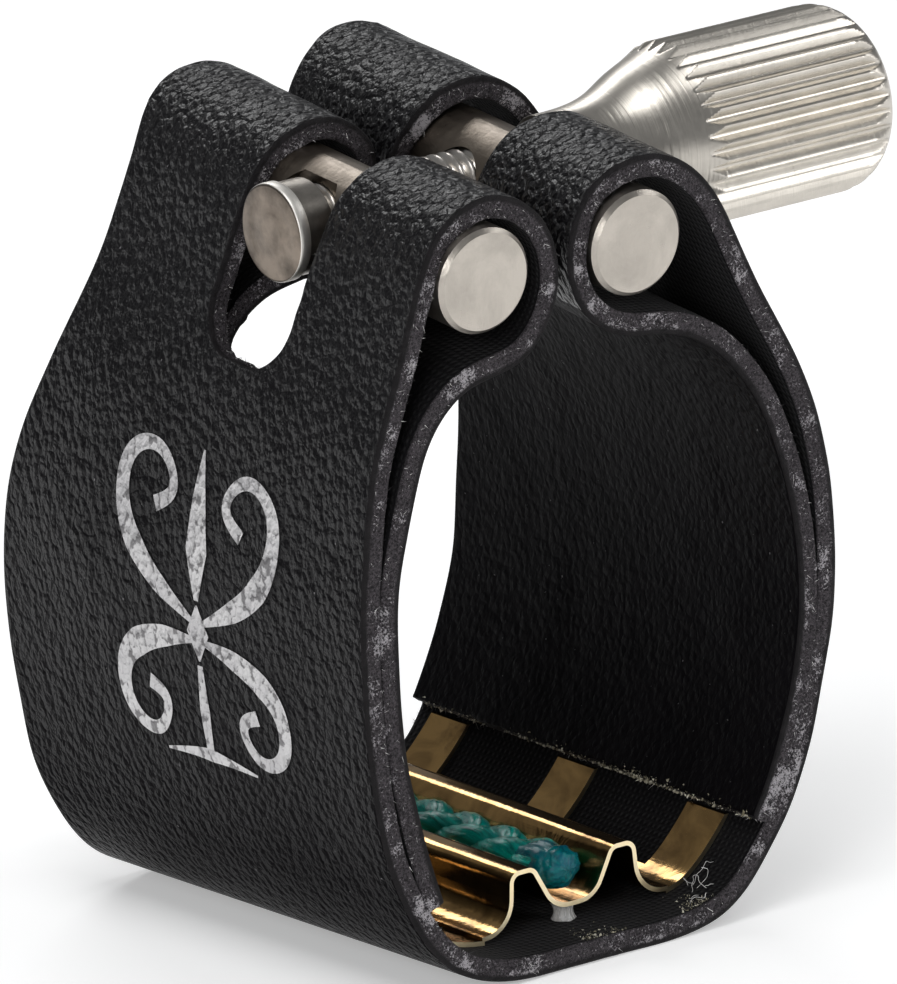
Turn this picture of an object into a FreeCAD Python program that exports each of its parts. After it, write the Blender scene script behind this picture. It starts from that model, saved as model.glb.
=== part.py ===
"""Leather ligature for an alto saxophone mouthpiece, in millimetres.

A strip of synthetic leather goes round the mouthpiece. Each end is folded back over a steel bar, and
one thumbscrew draws the two bars together. A gold-plated plate at the bottom carries a waxed cord.

+Y runs along the mouthpiece towards its shank, +X towards the thumbscrew's knob and +Z up to the bars.
The origin is the middle of the opening that the mouthpiece goes through.
"""

import FreeCAD, Part
import math
import os

V = FreeCAD.Vector

# Band: the strip and its layers.
FACE_THICK = 0.35            # grained leather face
STRIP_THICK = 1.05           # leather face and woven backing together
BAND_FRONT = -12.65          # front edge, along Y
BAND_REAR = 13.4             # rear edge at the bottom and the sides
REAR_EDGE = [                # rear edge of the walls as (height, depth): narrower at the loops
    (-1.5, 13.4), (4.0, 12.8), (8.0, 11.6), (11.6, 10.0), (15.5, 9.2),
]
TAPER = math.radians(5.9)    # the bars rise towards the rear, as the mouthpiece gets thicker
TAPER_LOW = -12.0            # below this height the band doesn't taper
TAPER_HIGH = 11.0            # above this height the whole taper is reached
FLARE = 0.75                 # how much further apart the walls are at the rear than in front, each side
FLARE_LEAN = -0.5            # sideways shift of the rear of the walls
FLARE_TOP = 14.0             # above this height the walls don't flare
FLARE_FULL = 3.0             # below this height they flare fully
HALF_WIDTH = 13.0            # of the walls, from the middle
DEPTH = 26.0                 # over which the flare grows
HINGE_HEIGHT = -11.65        # where the doubled walls begin
HINGE_SLIT = 0.16
LINE_POINTS = 70             # points that each layer's line is drawn through
OVERRUN = 1.5                # how far the layers are drawn past the band's edges before trimming

# Loops and their bars.
BAR_R = 2.5
BAR_LENGTH = 22.7
BAR_CHAMFER = 0.2
BAR_START_Y = -13.0
BAR_HEIGHT = 17.0            # bar axis at the bars' front ends
LEFT_BAR_X = -5.6
RIGHT_BAR_X = 2.99
LEFT_LOOP_CENTRE = (-5.2, 16.6)
LEFT_LOOP_BORE = 3.1
LEFT_PINCH = (-9.3, 12.7)
RIGHT_LOOP_CENTRE = (3.4, 16.8)
RIGHT_LOOP_BORE = 3.05
RIGHT_PINCH = (8.6, 11.6)

# Notches between the two prongs of each loop, measured along the bars from their front ends.
NOTCH_START = 7.8
NOTCH_END = 13.6
NOTCH_DEPTH = 6.2            # below the bar axis
NOTCH_ROUND = 2.2

# Thumbscrew.
SCREW_ALONG_BAR = 10.65
THREAD_R = 1.75
RIVET_R = 1.0
LEFT_HOLE_R = 1.8
RIGHT_HOLE_R = 1.82
DISC_R = 2.3
DISC_THICK = 0.6
DISC_FACE_X = -9.7
COLLAR_R = 2.18              # behind the disc, and in one piece with it
COLLAR_END_X = -7.6
SPOT_FACE_R = 2.45           # the flat that the collar meets on the left bar
SPOT_FACE_X = -6.9
RIVET_PROUD = 0.08
KNOB_START_X = 5.6
SCREW_IN_KNOB = 6.4
NOSE_R = 2.45
KNOB_R = 4.45
FLUTE_START_X = 13.0
FLUTE_END_X = 21.9
KNOB_END_X = 23.5
KNOB_END_ROUND = 1.3
KNOB_FLARE = [(2.6, 0.15), (3.9, 0.55), (5.2, 1.15)]     # (behind the nose's face, past its radius)
FLUTES = 34
FLUTE_DEPTH = 0.32
FLUTE_WIDTH = 0.86           # of the room that each flute has
FLUTE_CLEAR = 0.25           # the cutting shape stands this far out of the grip
FLUTE_RUN_IN = 0.9           # and this far into the flare

# Resonance plate, and the cord in its trough.
SHEET = 0.22
PLATE_FRONT = -10.0
FINGER_WIDTH = 2.8
FINGER_PITCH = 9.9
FINGERS = 3
PLATE_LENGTH = FINGER_PITCH * (FINGERS - 1) + FINGER_WIDTH
RIDGE_X = 2.85
RIDGE_HALF_WIDTH = 0.52
RIDGE_TOP = -11.9            # upper face of the ridges
PLATE_SHIFT = -0.25          # the ridges and the cord lie a little left of the middle
TROUGH_FLOOR = -14.25        # lower face of the trough
TROUGH_HALF_WIDTH = 1.2
RIDGE_LEAN = 0.2             # how far each ridge's outer side leans out, from its top to its foot
FOOT_REACH = 1.75            # flat run of the sheet past the ridge's foot
FOOT_GAP = 0.3               # between the flat run and the backing under it
FOOT_ROUND = 1.7
CREST_ROUND = 0.38
TROUGH_ROUND = 1.5
FLANGE_START = 5.2           # where the sheet begins to follow the band, from the plate's middle
FLANGE_END = 5.9
FINGER_TIP_Z = -11.95
CORD_CLEAR = 0.02            # between the cord and the trough
CORD_R = 1.35
CORD_SETBACK = 1.0           # from each end of the plate to the cord's end
CORD_END_ROUND = 0.81
GLUE_R = 0.85
GLUE_INSET = CORD_SETBACK + 0.2

# Printed ornament on the left wall.
PRINT_THICK = 0.06
PRINT_Y = -0.8
PRINT_Z = 0.6
PRINT_HALF_Y = 6.3
PRINT_HALF_Z = 6.9
PRINT_INSIDE = 12.0          # the left wall's face is further out than this where it is printed

# Outer face of the strip in the front plane, as (x, z): up the outside of the wall, over the loop and
# down again as the inner flap.
LEFT_WRAP = [
    (-11.15, -12.2), (-12.6, -8.0), (-13.2, -3.5), (-13.3, 1.0), (-12.8, 6.0), (-11.9, 10.2),
    (-10.6, 13.6), (-9.3, 17.0), (-7.6, 19.7), (-5.0, 20.65), (-2.5, 19.7), (-1.15, 17.2),
    (-1.6, 14.5), (-3.5, 12.7), (-6.6, 12.0), (-8.6, 10.4), (-9.9, 7.2), (-10.9, 3.0),
    (-11.1, -2.0), (-10.6, -7.0), (-9.4, -12.2),
]
RIGHT_WRAP = [
    (9.92, -12.2), (12.0, -7.6), (13.0, -3.5), (13.4, 0.5), (12.8, 5.2), (11.5, 9.5),
    (9.8, 13.0), (8.6, 16.2), (7.2, 19.0), (5.0, 20.65), (2.6, 20.8), (0.4, 19.5),
    (-0.6, 17.2), (-0.1, 14.6), (1.6, 13.0), (4.5, 12.3), (7.0, 11.2), (8.9, 9.0),
    (10.4, 5.2), (11.15, 0.5), (10.8, -4.0), (9.7, -8.2), (7.75, -12.2),
]
BOTTOM = [
    (-11.6, -11.0), (-10.8, -12.9), (-9.3, -14.6), (-7.0, -15.75), (-4.5, -16.1), (0.0, -16.15),
    (4.2, -16.1), (6.3, -15.6), (8.3, -14.1), (9.7, -12.5), (10.7, -11.0),
]

BACKING_HEIGHT = BOTTOM[5][1] + STRIP_THICK      # top of the backing, under the middle of the plate
REACH = 40.0                 # past every part of the object, for the cutting shapes


def taper_share(z):
    """How much of the taper a height takes part in, from 0 to 1."""
    return min(1.0, max(0.0, (z - TAPER_LOW) / (TAPER_HIGH - TAPER_LOW)))


def flare_share(z):
    """How much of the walls' flare a height takes part in, from 0 to 1."""
    return min(1.0, max(0.0, (FLARE_TOP - z) / (FLARE_TOP - FLARE_FULL)))


def placed(x, z, y):
    """The place at depth y of the point that is at (x, z) in the bars' front plane."""
    behind = y - BAR_START_Y
    flare = flare_share(z) * behind / DEPTH * (FLARE * x / HALF_WIDTH + FLARE_LEAN)
    return V(x + flare, y, z + behind * math.tan(TAPER) * taper_share(z))


def along_bar(x, along, up=0.0):
    """A point given by its distance along the bars' axis and its height square to it."""
    y = BAR_START_Y + along * math.cos(TAPER) - up * math.sin(TAPER)
    z = BAR_HEIGHT + along * math.sin(TAPER) + up * math.cos(TAPER)
    return V(x, y, z)


BAR_DIRECTION = V(0, math.cos(TAPER), math.sin(TAPER))


def smooth_line(points):
    """Evenly spaced points on the smooth curve through the given ones, each with its left normal."""
    curve = Part.BSplineCurve()
    curve.interpolate([V(x, 0, z) for x, z in points])
    line = []
    for point in curve.discretize(Number=LINE_POINTS):
        tangent = curve.tangent(curve.parameter(point))[0]
        line.append(((point.x, point.z), (-tangent.z, tangent.x)))
    return line


def moved_line(line, distance):
    """The line moved to its right by a distance."""
    return [(x - nx * distance, z - nz * distance) for (x, z), (nx, nz) in line]


def edge_at(points, y):
    """A smooth edge through the points, at one depth. Equal counts give matching edges."""
    curve = Part.BSplineCurve()
    steps = [float(i) for i in range(len(points))]
    curve.interpolate(Points=[placed(x, z, y) for x, z in points], Parameters=steps)
    return curve.toShape()


def straight(a, b, y):
    return Part.LineSegment(placed(*a, y), placed(*b, y)).toShape()


def lofted(make_wire):
    """A solid between the wires that make_wire gives in front of the band and behind it."""
    front = make_wire(BAND_FRONT - OVERRUN)
    rear = make_wire(BAND_REAR + OVERRUN)
    return Part.makeLoft([front, rear], True, True)


def layer(line, inner, outer):
    """One layer of a strip, between two distances from its outer face."""
    near = moved_line(line, inner)
    far = moved_line(line, outer)

    def wire(y):
        return Part.Wire([
            edge_at(near, y),
            straight(near[-1], far[-1], y),
            edge_at(far[::-1], y),
            straight(far[0], near[0], y),
        ])

    return lofted(wire)


def filled(line, depth):
    """Everything that the folded strip encloses, from a distance under its outer face."""
    around = moved_line(line, depth)

    def wire(y):
        return Part.Wire([edge_at(around, y), straight(around[-1], around[0], y)])

    return lofted(wire)


def loop_hollow(centre, radius, pinch):
    """The hollow round a bar: a round bore with a tail to where the flap meets the wall."""
    cx, cz = centre
    reach = math.hypot(pinch[0] - cx, pinch[1] - cz)
    heading = math.atan2(pinch[1] - cz, pinch[0] - cx)
    spread = math.acos(radius / reach)

    def on_bore(angle):
        return (cx + radius * math.cos(angle), cz + radius * math.sin(angle))

    first = on_bore(heading + spread)
    last = on_bore(heading - spread)
    middle = on_bore(heading + math.pi)

    def wire(y):
        bore = Part.Arc(placed(*first, y), placed(*middle, y), placed(*last, y)).toShape()
        return Part.Wire([bore, straight(last, pinch, y), straight(pinch, first, y)])

    return lofted(wire)


def prism(points, direction):
    """A solid with a straight-sided outline, pushed along a direction."""
    return Part.Face(Part.makePolygon(points + [points[0]])).extrude(direction)


def side_outline():
    """The band's outline seen from its side: full width below, narrower at the loops."""
    across = V(2 * REACH, 0, 0)
    loop_rear = REAR_EDGE[-1][1]
    corners = [V(-REACH, BAND_FRONT, -REACH), V(-REACH, BAND_REAR, -REACH)]
    corners += [V(-REACH, y, z) for z, y in REAR_EDGE]
    corners += [V(-REACH, loop_rear, REACH), V(-REACH, BAND_FRONT, REACH)]
    return prism(corners, across)


def notch():
    """The space between the prongs, through both walls, with a rounded end."""
    low = -NOTCH_DEPTH
    knee = low + NOTCH_ROUND
    lean = NOTCH_ROUND * (1 - math.sqrt(0.5))
    a = along_bar(-REACH, NOTCH_START, REACH)
    b = along_bar(-REACH, NOTCH_START, knee)
    c = along_bar(-REACH, NOTCH_START + NOTCH_ROUND, low)
    d = along_bar(-REACH, NOTCH_END - NOTCH_ROUND, low)
    e = along_bar(-REACH, NOTCH_END, knee)
    f = along_bar(-REACH, NOTCH_END, REACH)
    corner_front = along_bar(-REACH, NOTCH_START + lean, low + lean)
    corner_rear = along_bar(-REACH, NOTCH_END - lean, low + lean)
    outline = Part.Wire([
        Part.LineSegment(a, b).toShape(),
        Part.Arc(b, corner_front, c).toShape(),
        Part.LineSegment(c, d).toShape(),
        Part.Arc(d, corner_rear, e).toShape(),
        Part.LineSegment(e, f).toShape(),
        Part.LineSegment(f, a).toShape(),
    ])
    return Part.Face(outline).extrude(V(2 * REACH, 0, 0))


def arm(points, loop_centre, loop_bore, pinch, trim, gap):
    """One wall of the band with its loop: the leather face and the backing inside it."""
    line = smooth_line(points)
    face = layer(line, 0.0, FACE_THICK)
    backing = filled(line, FACE_THICK).cut(loop_hollow(loop_centre, loop_bore, pinch))
    above = Part.makeBox(2 * REACH, 2 * REACH, REACH * 2, V(-REACH, -REACH, HINGE_HEIGHT + HINGE_SLIT))
    return [piece.common(trim).common(above).cut(gap) for piece in (face, backing)]


def bottom_layer(inner, outer, trim):
    """A layer of the strip under the mouthpiece, between the two hinge lines."""
    below = Part.makeBox(2 * REACH, 2 * REACH, REACH, V(-REACH, -REACH, HINGE_HEIGHT - REACH))
    # The line runs from left to right, so the inside of the band is on its left.
    return layer(smooth_line(BOTTOM), -inner, -outer).common(trim).common(below)


def printed_ornament(trim):
    """The area that the ornament is printed on: a thin oval film on the left wall."""
    film = layer(smooth_line(LEFT_WRAP), -PRINT_THICK, 0.0).common(trim)
    oval = Part.Ellipse(V(0, 0, 0), PRINT_HALF_Z, PRINT_HALF_Y).toShape()
    oval_face = Part.Face(Part.Wire(oval))
    oval_face.rotate(V(0, 0, 0), V(0, 1, 0), 90)
    oval_face.translate(V(-REACH, PRINT_Y, PRINT_Z))
    return film.common(oval_face.extrude(V(REACH - PRINT_INSIDE, 0, 0)))


def bar(x, hole_r):
    """A round bar through a loop, with the cross hole that the screw goes through."""
    rod = Part.makeCylinder(BAR_R, BAR_LENGTH, along_bar(x, 0.0), BAR_DIRECTION)
    rims = [edge for edge in rod.Edges if isinstance(edge.Curve, Part.Circle)]
    rod = rod.makeChamfer(BAR_CHAMFER, rims)
    hole = Part.makeCylinder(hole_r, 4 * BAR_R, along_bar(x - 2 * BAR_R, SCREW_ALONG_BAR), V(1, 0, 0))
    return rod.cut(hole)


def screw_cylinder(radius, start_x, end_x):
    return Part.makeCylinder(radius, end_x - start_x, along_bar(start_x, SCREW_ALONG_BAR), V(1, 0, 0))


def left_bar():
    """The threaded bar, with a flat round its hole that the end disc's collar stops against."""
    flat = screw_cylinder(SPOT_FACE_R, LEFT_BAR_X - 2 * BAR_R, SPOT_FACE_X)
    return bar(LEFT_BAR_X, LEFT_HOLE_R).cut(flat)


def screw_shaft():
    """The threaded shaft, and the rivet that holds the end disc."""
    rivet = screw_cylinder(RIVET_R, DISC_FACE_X - RIVET_PROUD, COLLAR_END_X)
    thread = screw_cylinder(THREAD_R, COLLAR_END_X, KNOB_START_X + SCREW_IN_KNOB)
    return rivet.fuse(thread).removeSplitter()


def end_disc():
    """The end disc and the slightly slimmer collar behind it."""
    disc = screw_cylinder(DISC_R, DISC_FACE_X, DISC_FACE_X + DISC_THICK)
    collar = screw_cylinder(COLLAR_R, DISC_FACE_X, COLLAR_END_X)
    return disc.fuse(collar).cut(screw_cylinder(RIVET_R, DISC_FACE_X, COLLAR_END_X)).removeSplitter()


def thumb_knob():
    """The knob: a slim nose, a hollow flare, a fluted grip and a rounded end."""
    flare = Part.BSplineCurve()
    hollow = [V(KNOB_START_X + behind, 0, NOSE_R + wider) for behind, wider in KNOB_FLARE]
    flare.interpolate([V(KNOB_START_X, 0, NOSE_R)] + hollow + [V(FLUTE_START_X, 0, KNOB_R)])
    lean = KNOB_END_ROUND * (1 - math.sqrt(0.5))
    axis_start = V(KNOB_START_X, 0, 0)
    axis_end = V(KNOB_END_X, 0, 0)
    round_start = V(KNOB_END_X - KNOB_END_ROUND, 0, KNOB_R)
    round_middle = V(KNOB_END_X - lean, 0, KNOB_R - lean)
    round_end = V(KNOB_END_X, 0, KNOB_R - KNOB_END_ROUND)
    outline = Part.Wire([
        Part.LineSegment(axis_start, V(KNOB_START_X, 0, NOSE_R)).toShape(),
        flare.toShape(),
        Part.LineSegment(V(FLUTE_START_X, 0, KNOB_R), round_start).toShape(),
        Part.Arc(round_start, round_middle, round_end).toShape(),
        Part.LineSegment(round_end, axis_end).toShape(),
        Part.LineSegment(axis_end, axis_start).toShape(),
    ])
    knob = Part.Face(outline).revolve(V(0, 0, 0), V(1, 0, 0), 360)
    knob = knob.cut(Part.makeCylinder(THREAD_R, SCREW_IN_KNOB, axis_start, V(1, 0, 0)))
    knob = knob.cut(Part.makeCompound([flute(i) for i in range(FLUTES)]))
    knob.translate(along_bar(0.0, SCREW_ALONG_BAR))
    return knob


def flute(number):
    """A straight V groove in the grip, running out at both of its ends."""
    half = math.pi * KNOB_R / FLUTES * FLUTE_WIDTH
    floor = KNOB_R - FLUTE_DEPTH
    lip = KNOB_R + FLUTE_CLEAR
    spread = half * (lip - floor) / FLUTE_DEPTH
    start = FLUTE_START_X - FLUTE_RUN_IN
    groove = prism([V(start, 0, floor), V(start, spread, lip), V(start, -spread, lip)],
                   V(FLUTE_END_X - start, 0, 0))
    groove.rotate(V(0, 0, 0), V(1, 0, 0), 360.0 * number / FLUTES)
    return groove


def rounded_path(corners, radii, y):
    """A wire of straight runs with an arc of the given radius at each inner corner."""
    edges = []
    start = V(corners[0][0], y, corners[0][1])
    for before, corner, after, radius in zip(corners, corners[1:], corners[2:], radii):
        tip = V(corner[0], y, corner[1])
        back = (V(before[0], y, before[1]) - tip).normalize()
        ahead = (V(after[0], y, after[1]) - tip).normalize()
        half = back.getAngle(ahead) / 2
        run = radius / math.tan(half)
        middle = (back + ahead).normalize() * (radius / math.sin(half) - radius)
        edges.append(Part.LineSegment(start, tip + back * run).toShape())
        edges.append(Part.Arc(tip + back * run, tip + middle, tip + ahead * run).toShape())
        start = tip + ahead * run
    edges.append(Part.LineSegment(start, V(corners[-1][0], y, corners[-1][1])).toShape())
    return Part.Wire(edges)


def crosswise_box(x_one, x_other, start_y, length):
    """A box from the bottom up to the origin's height, between two places across the plate."""
    low = min(x_one, x_other)
    return Part.makeBox(abs(x_other - x_one), length, REACH, V(low, start_y, -REACH))


def resonance_plate():
    """The plate: two ridges with a trough between them, two flanges and six curved fingers."""
    ridge_foot = RIDGE_X + RIDGE_HALF_WIDTH + RIDGE_LEAN
    half = [
        (ridge_foot + FOOT_REACH, BACKING_HEIGHT + FOOT_GAP),
        (ridge_foot, BACKING_HEIGHT + FOOT_GAP),
        (RIDGE_X + RIDGE_HALF_WIDTH, RIDGE_TOP - SHEET),
        (RIDGE_X - RIDGE_HALF_WIDTH, RIDGE_TOP - SHEET),
        (TROUGH_HALF_WIDTH, TROUGH_FLOOR),
    ]
    corners = [(-x, z) for x, z in half] + half[::-1]
    side = [FOOT_ROUND, CREST_ROUND, CREST_ROUND, TROUGH_ROUND]
    path = rounded_path(corners, side + side[::-1], PLATE_FRONT)
    section = path.makeOffset2D(SHEET, 2, True, True)
    if section.BoundBox.ZMax < RIDGE_TOP - SHEET / 2:
        section = path.makeOffset2D(-SHEET, 2, True, True)
    plate = section.extrude(V(0, PLATE_LENGTH, 0))
    plate.translate(V(PLATE_SHIFT, 0, 0))
    lining = layer(smooth_line(BOTTOM), -STRIP_THICK, -STRIP_THICK - SHEET)
    under_tips = Part.makeBox(2 * REACH, PLATE_LENGTH, REACH, V(-REACH, PLATE_FRONT, FINGER_TIP_Z - REACH))
    lining = lining.common(under_tips)
    for side_sign in (-1, 1):
        start = side_sign * FLANGE_START + PLATE_SHIFT
        flange = crosswise_box(start, side_sign * FLANGE_END, PLATE_FRONT, PLATE_LENGTH)
        plate = plate.fuse(lining.common(flange))
        for number in range(FINGERS):
            finger_y = PLATE_FRONT + number * FINGER_PITCH
            finger = crosswise_box(start, side_sign * REACH, finger_y, FINGER_WIDTH)
            plate = plate.fuse(lining.common(finger))
    return plate.removeSplitter()


def cord():
    """The waxed cord, with its melted round ends, lying in the trough."""
    start = PLATE_FRONT + CORD_SETBACK
    length = PLATE_LENGTH - 2 * CORD_SETBACK
    centre_z = TROUGH_FLOOR + SHEET + CORD_R + CORD_CLEAR
    rod = Part.makeCylinder(CORD_R, length, V(PLATE_SHIFT, start, centre_z), V(0, 1, 0))
    rims = [edge for edge in rod.Edges if isinstance(edge.Curve, Part.Circle)]
    return rod.makeFillet(CORD_END_ROUND, rims)


def glue_dab(y):
    """A dab of clear glue between the trough's underside and the backing, holding a cord end."""
    height = TROUGH_FLOOR - BACKING_HEIGHT
    return Part.makeCylinder(GLUE_R, height, V(PLATE_SHIFT, y, BACKING_HEIGHT), V(0, 0, 1))


def save(name, shape):
    solids = shape.Solids
    assert shape.isValid(), name
    whole = solids[0] if len(solids) == 1 else Part.makeCompound(solids)
    whole.exportStep("parts/" + name + ".step")
    print(name, len(solids), round(shape.Volume, 2))


def main():
    os.makedirs("parts", exist_ok=True)
    trim = side_outline()
    gap = notch()
    left_face, left_backing = arm(LEFT_WRAP, LEFT_LOOP_CENTRE, LEFT_LOOP_BORE, LEFT_PINCH, trim, gap)
    # The right wall's line runs the other way round its loop, so it is drawn from the flap's end.
    right_face, right_backing = arm(
        RIGHT_WRAP[::-1], RIGHT_LOOP_CENTRE, RIGHT_LOOP_BORE, RIGHT_PINCH, trim, gap)
    save("left_wall_leather", left_face)
    save("left_wall_backing", left_backing)
    save("right_wall_leather", right_face)
    save("right_wall_backing", right_backing)
    save("bottom_leather", bottom_layer(0.0, FACE_THICK, trim))
    save("bottom_backing", bottom_layer(FACE_THICK, STRIP_THICK, trim))
    save("printed_ornament", printed_ornament(trim))
    save("left_bar", left_bar())
    save("right_bar", bar(RIGHT_BAR_X, RIGHT_HOLE_R))
    save("screw_shaft", screw_shaft())
    save("screw_end_disc", end_disc())
    save("thumb_knob", thumb_knob())
    save("resonance_plate", resonance_plate())
    save("waxed_cord", cord())
    save("front_glue_dab", glue_dab(PLATE_FRONT + GLUE_INSET))
    save("rear_glue_dab", glue_dab(PLATE_FRONT + PLATE_LENGTH - GLUE_INSET))


main()
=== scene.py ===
import math

import bpy
import numpy as np
from mathutils import Matrix, Vector


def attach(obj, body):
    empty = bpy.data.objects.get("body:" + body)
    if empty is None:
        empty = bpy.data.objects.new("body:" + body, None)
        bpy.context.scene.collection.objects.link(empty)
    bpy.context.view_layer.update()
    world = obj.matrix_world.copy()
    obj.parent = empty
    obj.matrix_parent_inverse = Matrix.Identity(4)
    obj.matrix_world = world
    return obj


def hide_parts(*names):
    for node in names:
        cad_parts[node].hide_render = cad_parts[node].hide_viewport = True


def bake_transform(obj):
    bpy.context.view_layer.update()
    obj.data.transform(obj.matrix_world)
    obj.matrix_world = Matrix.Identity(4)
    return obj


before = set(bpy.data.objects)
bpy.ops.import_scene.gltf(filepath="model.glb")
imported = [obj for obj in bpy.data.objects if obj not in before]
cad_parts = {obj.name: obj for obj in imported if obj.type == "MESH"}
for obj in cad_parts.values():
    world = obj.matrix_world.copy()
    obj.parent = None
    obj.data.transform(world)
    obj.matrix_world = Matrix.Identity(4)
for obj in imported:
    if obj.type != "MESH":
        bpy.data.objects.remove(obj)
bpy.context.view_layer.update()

# All sizes below are in millimetres, in the same frame as the CAD; MM turns them into metres.
MM = 0.001

# The strip of leather that the band is made of.
STRIP_THICK = 1.05
BAND_FRONT = -12.65
TAPER = math.radians(5.9)
DEPTH = 26.0
HALF_WIDTH = 13.0
FLARE = 0.75
FLARE_LEAN = -0.5
CELL = 0.3                   # size of the band's mesh cells
REAR_EDGE = [(-17.0, 13.6), (-8.0, 13.85), (-1.5, 13.8), (4.0, 13.2), (8.0, 12.0), (11.6, 10.5),
             (15.0, 9.6), (25.0, 9.5)]       # height and depth of the strip's rear edge

# The cut edge's profile: share of the strip's thickness, and how far the edge is set back there.
RIM_PROFILE = [(0.0, 0.10), (0.07, 0.03), (0.2, 0.0), (0.34, 0.02), (0.5, 0.0), (0.66, 0.02),
               (0.82, 0.0), (0.94, 0.03), (1.0, 0.09)]
RIM_ROUGH = 0.05
FLAP_START = 9.0             # how far down from the loop's top the flap's finer grain begins, whose low shine is painted shade

# Outer face of the strip in front, as (x, z): left flap, left loop, left wall, bottom, and back up.
LEFT_FLAP_TO_WALL = [
    (-9.5, -11.5), (-10.6, -7.0), (-11.1, -2.0), (-10.9, 3.0), (-9.9, 7.2), (-8.6, 10.4),
    (-6.6, 12.0), (-3.5, 12.7), (-1.6, 14.5), (-1.15, 17.2), (-2.5, 19.7), (-5.0, 20.65),
    (-7.6, 19.7), (-9.3, 17.0), (-10.6, 13.6), (-11.9, 10.2), (-12.8, 6.0), (-13.3, 1.0),
    (-13.2, -3.5), (-12.6, -8.0), (-11.2, -12.1), (-9.3, -14.6), (-7.0, -15.75), (-4.5, -16.1),
]
BOTTOM_CENTRE = (0.0, -16.15)
RIGHT_WALL_TO_FLAP = [
    (4.2, -16.1), (6.3, -15.6), (8.3, -14.1), (9.95, -12.1), (12.1, -7.6), (13.3, -3.5),
    (13.75, 0.8), (13.3, 5.4), (12.0, 9.6), (10.15, 13.2), (8.75, 16.4), (7.25, 19.0), (5.0, 20.65),
    (2.6, 20.8), (0.4, 19.5), (-0.6, 17.2), (-0.1, 14.6), (1.6, 13.0), (4.5, 12.3), (7.0, 11.2),
    (9.1, 9.0), (10.75, 5.2), (11.5, 0.5), (11.1, -4.0), (9.85, -8.2), (8.15, -11.5),
]

# Bars, notches and screw.
BAR_START = np.array([-13.0, 17.0])          # y and z of the bars' front ends
LEFT_BAR_X = -5.6
RIGHT_BAR_X = 2.99
NOTCH_START = 7.8
NOTCH_END = 13.6
NOTCH_LOW = -5.75
NOTCH_ROUND = 2.2
FLAP_NOTCH_LONGER = 1.3      # the notch's end in the inner flap is longer and deeper
FLAP_NOTCH_DEEPER = 2.2
SCREW_ALONG_BAR = 10.65
THREAD_R = 1.75
THREAD_DEPTH = 0.3
PITCH = 0.6
DISC_R = 2.3
DISC_FACE_X = -9.7
DISC_THICK = 0.6
COLLAR_R = 2.18
COLLAR_END_X = -7.6
KNOB_START_X = 5.6
KNOB_R = 4.45
FLUTE_START_X = 13.0
KNOB_END_X = 23.5
FLUTES = 34
FLUTE_DEPTH = 0.36

# Plate and cord.
PLATE_FRONT = -10.0
PLATE_LENGTH = 22.6
TROUGH_X = -0.25
CORD_Z = -12.68
CORD_SETBACK = 0.4
BACKING_Z = -15.1
TROUGH_UNDER_Z = -14.25

FLOOR_Z = -16.2              # just under the band's lowest point


# ---- curves, noise and meshes


def distance_along(line):
    """Distance from a line's start to each of its points."""
    return np.concatenate([[0], np.cumsum(np.linalg.norm(np.diff(line, axis=0), axis=1))])


def unit(vectors):
    return vectors / np.linalg.norm(vectors, axis=1)[:, None]


def headings(line):
    """The direction of a line at each of its points."""
    return unit(np.gradient(line, axis=0))


def quarter_turn(directions):
    """The directions to the left of the given ones, on a plane."""
    return np.stack([-directions[:, 1], directions[:, 0]], axis=1)


def spline(points, step):
    """Evenly spaced points on the smooth curve through the given ones."""
    p = np.array(points, float)
    t = distance_along(p)
    h = np.diff(t)
    n = len(p)
    matrix = np.eye(n)
    right = np.zeros_like(p)
    for i in range(1, n - 1):
        matrix[i, i - 1:i + 2] = h[i - 1], 2 * (h[i - 1] + h[i]), h[i]
        right[i] = 6 * ((p[i + 1] - p[i]) / h[i] - (p[i] - p[i - 1]) / h[i - 1])
    bend = np.linalg.solve(matrix, right)
    fine = np.linspace(0, t[-1], int(t[-1] / step * 2) + 2)
    i = np.clip(np.searchsorted(t, fine) - 1, 0, n - 2)
    a = (t[i + 1] - fine)[:, None]
    b = (fine - t[i])[:, None]
    w = h[i][:, None]
    curve = (bend[i] * a**3 + bend[i + 1] * b**3) / (6 * w)
    curve += (p[i] / w - bend[i] * w / 6) * a + (p[i + 1] / w - bend[i + 1] * w / 6) * b
    run = distance_along(curve)
    even = np.linspace(0, run[-1], int(run[-1] / step) + 1)
    return np.stack([np.interp(even, run, curve[:, k]) for k in range(p.shape[1])], axis=1)


def screw_axis():
    """The y and z of the screw's axis, in mm."""
    y = BAR_START[0] + SCREW_ALONG_BAR * math.cos(TAPER)
    z = BAR_START[1] + SCREW_ALONG_BAR * math.sin(TAPER)
    return y, z


def smoothstep(value):
    value = np.clip(value, 0, 1)
    return value * value * (3 - 2 * value)


def value_noise(u, v, seed):
    """Smooth noise from -1 to 1 on a plane, with features about one unit across."""
    size = 97
    table = np.random.default_rng(seed).uniform(-1, 1, (size, size))
    iu, iv = np.floor(u).astype(int), np.floor(v).astype(int)
    fu, fv = smoothstep(u - iu), smoothstep(v - iv)
    u0, u1, v0, v1 = iu % size, (iu + 1) % size, iv % size, (iv + 1) % size
    near = table[u0, v0] * (1 - fu) + table[u1, v0] * fu
    far = table[u0, v1] * (1 - fu) + table[u1, v1] * fu
    return near * (1 - fv) + far * fv


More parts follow.
